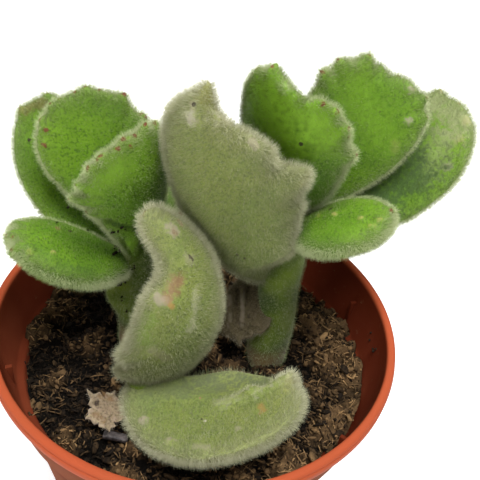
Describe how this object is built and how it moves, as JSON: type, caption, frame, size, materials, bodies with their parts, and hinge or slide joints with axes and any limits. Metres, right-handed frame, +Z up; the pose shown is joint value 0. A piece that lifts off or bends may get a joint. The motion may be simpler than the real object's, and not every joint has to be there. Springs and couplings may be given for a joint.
{
  "type": "potted succulent",
  "caption": "Small hairy succulent with fat clawed leaves on upright stems, growing in a round terracotta-coloured plastic nursery pot.",
  "frame": {"origin": "middle of the pot's flat underside", "axes": "+Z up, along the pot's axis; the side with the folded front leaf faces -Y"},
  "size_m": [0.07, 0.065, 0.1],
  "materials": {
    "pot": "thin semi-matt terracotta plastic",
    "soil": "loose peat and bark potting soil",
    "stem": "soft green stem with short hairs",
    "leaf_green": "fleshy bright green leaf with short pale hairs",
    "leaf_grey": "fleshy grey-green leaf with dense pale felt",
    "leaf_withered": "shrunken brown felt leaf",
    "leaf_dead": "dry papery leaf",
    "bark": "dark bark"
  },
  "bodies": {
    "root": {"pot": "pot", "soil": "soil", "stem_left": "stem", "stem_right": "stem", "stem_front": "stem", "leaf_left_low": "leaf_green", "leaf_left_outer": "leaf_green", "leaf_left_back": "leaf_green", "leaf_left_front": "leaf_green", "leaf_left_rear": "leaf_green", "leaf_left_small": "leaf_green", "leaf_right_low": "leaf_green", "leaf_right_front": "leaf_green", "leaf_right_back": "leaf_green", "leaf_right_outer": "leaf_green", "leaf_right_rear": "leaf_green", "leaf_centre_tall": "leaf_grey", "leaf_front_upright": "leaf_grey", "leaf_front_folded": "leaf_grey", "leaf_withered": "leaf_withered", "leaf_dead": "leaf_dead", "bark_chip": "bark"}
  },
  "joints": []
}
